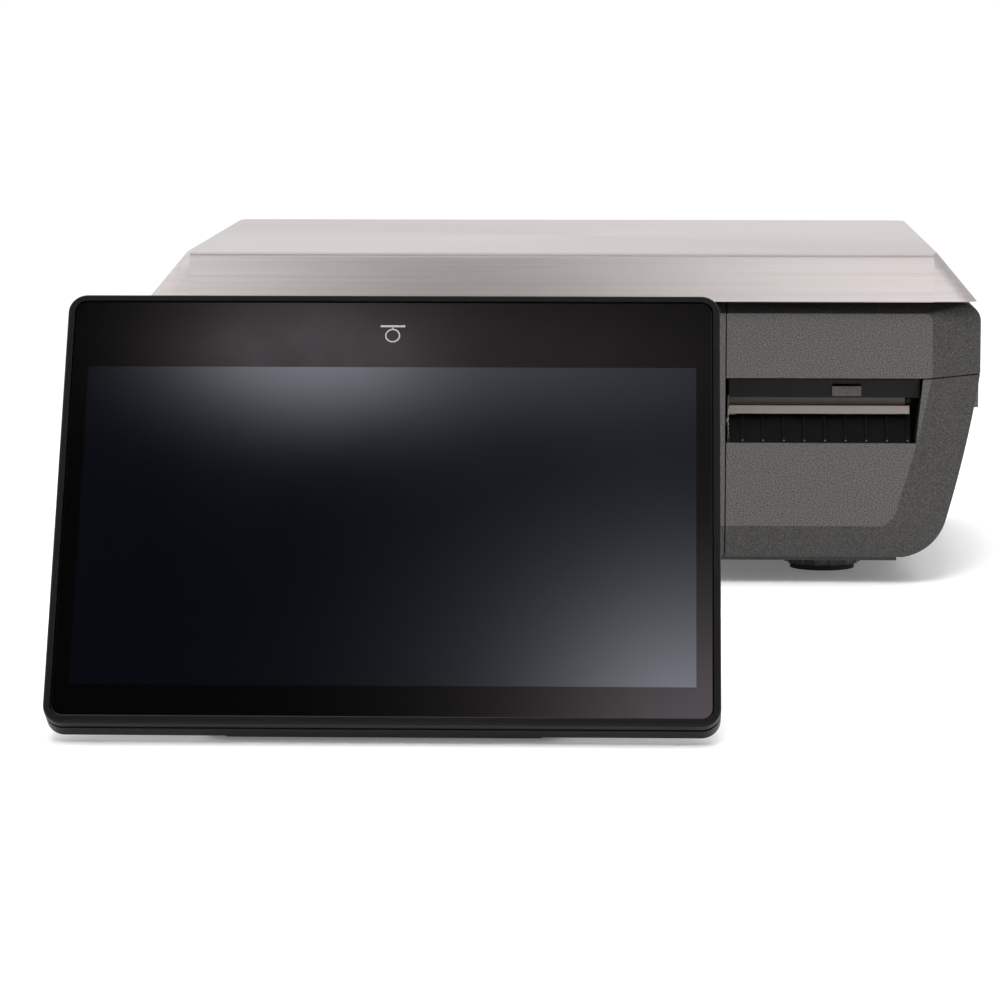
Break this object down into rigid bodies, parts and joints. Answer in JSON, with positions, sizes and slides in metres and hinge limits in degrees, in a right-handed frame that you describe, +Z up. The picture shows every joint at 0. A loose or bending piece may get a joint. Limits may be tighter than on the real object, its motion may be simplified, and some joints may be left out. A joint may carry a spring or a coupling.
{
  "type": "retail price scale",
  "caption": "Low retail price scale with a steel platter, a label printer drawer and a tilting touch console standing in front on a flat link plate.",
  "frame": {"origin": "centre of the outer box in plan, on the counter", "axes": "+X the operator's right, +Y away from the operator, +Z up; the operator faces +Y"},
  "size_m": [0.4276, 0.769, 0.1762],
  "materials": {
    "charcoal_plastic": "fine-grained moulded plastic, charcoal",
    "black_plastic": "satin black moulded plastic",
    "stainless": "satin brushed stainless sheet",
    "zinc_steel": "zinc-plated sheet steel",
    "cast_aluminium": "die-cast, as cast",
    "machined_aluminium": "milled, clear anodised",
    "ground_steel": "ground and polished",
    "rubber": "matt black rubber",
    "cover_glass": "gloss, black-printed border behind",
    "lcd": "dark display panel",
    "circuit_board": "green solder mask",
    "brass": "machined",
    "label_paper": "white thermal label stock",
    "green_plastic": "moulded, coloured touch point",
    "nylon": "natural white moulding",
    "ceramic": "glazed strip",
    "powder_steel": "black powder coat",
    "motor_steel": "dark coated can",
    "level_acrylic": "tinted clear vial"
  },
  "bodies": {
    "base": {"base_pan": "powder_steel", "main_housing": "charcoal_plastic", "printer_cover": "charcoal_plastic", "rear_panel": "powder_steel", "housing_screws": "zinc_steel", "platter_spider": "cast_aluminium", "spider_pads": "rubber", "load_cell": "machined_aluminium", "load_cell_pedestal": "cast_aluminium", "load_cell_block": "machined_aluminium", "load_cell_bolts": "zinc_steel", "main_board": "circuit_board", "power_supply": "zinc_steel", "power_inlet": "black_plastic", "data_ports": "zinc_steel", "bubble_level": "level_acrylic", "drawer_rails": "nylon", "console_stand": "powder_steel", "link_plate": "powder_steel", "console_pads": "rubber", "cable_raceway": "black_plastic", "plate_bolts": "zinc_steel"},
    "platter": {"platter": "stainless"},
    "drawer": {"drawer_shell": "charcoal_plastic", "drawer_tray": "zinc_steel", "printer_chassis": "zinc_steel", "platen_bushes": "nylon", "stepper_motor": "motor_steel", "rib_guide": "black_plastic", "tear_bar": "stainless", "head_cover": "black_plastic", "label_sensor": "black_plastic", "head_shaft": "ground_steel"},
    "print_head": {"head_bracket": "machined_aluminium", "thermal_head": "ceramic"},
    "head_lever": {"head_lever": "green_plastic"},
    "platen": {"platen_roller": "rubber", "platen_shaft": "ground_steel", "platen_gear": "nylon"},
    "pinion": {"motor_pinion": "brass"},
    "label_roll": {"label_roll": "label_paper", "roll_spindle": "nylon"},
    "latch": {"latch_tab": "black_plastic"},
    "power_rocker": {"power_rocker": "black_plastic"},
    "console": {"display_frame": "black_plastic", "cover_glass": "cover_glass", "lcd_panel": "lcd", "display_board": "circuit_board", "display_rear_shell": "black_plastic", "display_screws": "zinc_steel", "tilt_bracket": "zinc_steel", "hinge_pin": "ground_steel"},
    "foot_pad_1": {"foot_pad_1": "rubber"},
    "foot_wheel_1": {"foot_wheel_1": "black_plastic"},
    "foot_pad_2": {"foot_pad_2": "rubber"},
    "foot_wheel_2": {"foot_wheel_2": "black_plastic"},
    "foot_pad_3": {"foot_pad_3": "rubber"},
    "foot_wheel_3": {"foot_wheel_3": "black_plastic"},
    "foot_pad_4": {"foot_pad_4": "rubber"},
    "foot_wheel_4": {"foot_wheel_4": "black_plastic"}
  },
  "joints": [
    {"name": "platter_lift", "type": "slide", "parent": "base", "child": "platter", "axis": [0, 0, 1], "range_m": [0, 0.08]},
    {"name": "drawer_slide", "type": "slide", "parent": "base", "child": "drawer", "axis": [0, -1, 0], "range_m": [0, 0.15]},
    {"name": "print_head_lift", "type": "hinge", "parent": "drawer", "child": "print_head", "pos_m": [0.093, 0.128, 0.097], "axis": [-1, 0, 0], "range_deg": [0, 5]},
    {"name": "head_lever_turn", "type": "hinge", "parent": "drawer", "child": "head_lever", "pos_m": [0.1781, 0.128, 0.097], "axis": [1, 0, 0], "range_deg": [0, 40]},
    {"name": "platen_spin", "type": "hinge", "parent": "drawer", "child": "platen", "pos_m": [0.0935, 0.104, 0.084], "axis": [1, 0, 0], "continuous": true},
    {"name": "pinion_spin", "type": "hinge", "parent": "drawer", "child": "pinion", "pos_m": [0.0853, 0.107, 0.06666], "axis": [1, 0, 0], "continuous": true},
    {"name": "roll_spin", "type": "hinge", "parent": "drawer", "child": "label_roll", "pos_m": [0.13375, 0.184, 0.0675], "axis": [1, 0, 0], "continuous": true},
    {"name": "latch_pull", "type": "hinge", "parent": "drawer", "child": "latch", "pos_m": [0.20475, 0.126, 0.0915], "axis": [0, 0, 1], "range_deg": [0, 18], "stiffness_Nm_per_rad": 0.03, "springref_deg": -5.73},
    {"name": "rocker_press", "type": "hinge", "parent": "base", "child": "power_rocker", "pos_m": [-0.004, 0.3787, 0.058], "axis": [-1, 0, 0], "range_deg": [0, 12]},
    {"name": "console_tilt", "type": "hinge", "parent": "base", "child": "console", "pos_m": [-0.0635, -0.32284, 0.04685], "axis": [-1, 0, 0], "range_deg": [0, 25]},
    {"name": "foot_1_extend", "type": "slide", "parent": "base", "child": "foot_pad_1", "axis": [0, 0, -1], "range_m": [0, 0.005]},
    {"name": "foot_1_turn", "type": "hinge", "parent": "foot_pad_1", "child": "foot_wheel_1", "pos_m": [-0.137, 0.164, 0.003], "axis": [0, 0, 1], "range_deg": [-1445, 0]},
    {"name": "foot_2_extend", "type": "slide", "parent": "base", "child": "foot_pad_2", "axis": [0, 0, -1], "range_m": [0, 0.005]},
    {"name": "foot_2_turn", "type": "hinge", "parent": "foot_pad_2", "child": "foot_wheel_2", "pos_m": [0.137, 0.164, 0.003], "axis": [0, 0, 1], "range_deg": [-1445, 0]},
    {"name": "foot_3_extend", "type": "slide", "parent": "base", "child": "foot_pad_3", "axis": [0, 0, -1], "range_m": [0, 0.005]},
    {"name": "foot_3_turn", "type": "hinge", "parent": "foot_pad_3", "child": "foot_wheel_3", "pos_m": [-0.137, 0.3365, 0.003], "axis": [0, 0, 1], "range_deg": [-1445, 0]},
    {"name": "foot_4_extend", "type": "slide", "parent": "base", "child": "foot_pad_4", "axis": [0, 0, -1], "range_m": [0, 0.005]},
    {"name": "foot_4_turn", "type": "hinge", "parent": "foot_pad_4", "child": "foot_wheel_4", "pos_m": [0.137, 0.3365, 0.003], "axis": [0, 0, 1], "range_deg": [-1445, 0]}
  ],
  "couplings": [
    {"joint": "head_lever_turn", "follows": "print_head_lift", "ratio": 8},
    {"joint": "pinion_spin", "follows": "platen_spin", "ratio": -2.1429},
    {"joint": "foot_1_turn", "follows": "foot_1_extend", "rad_per_m": -5026.5},
    {"joint": "foot_2_turn", "follows": "foot_2_extend", "rad_per_m": -5026.5},
    {"joint": "foot_3_turn", "follows": "foot_3_extend", "rad_per_m": -5026.5},
    {"joint": "foot_4_turn", "follows": "foot_4_extend", "rad_per_m": -5026.5}
  ]
}
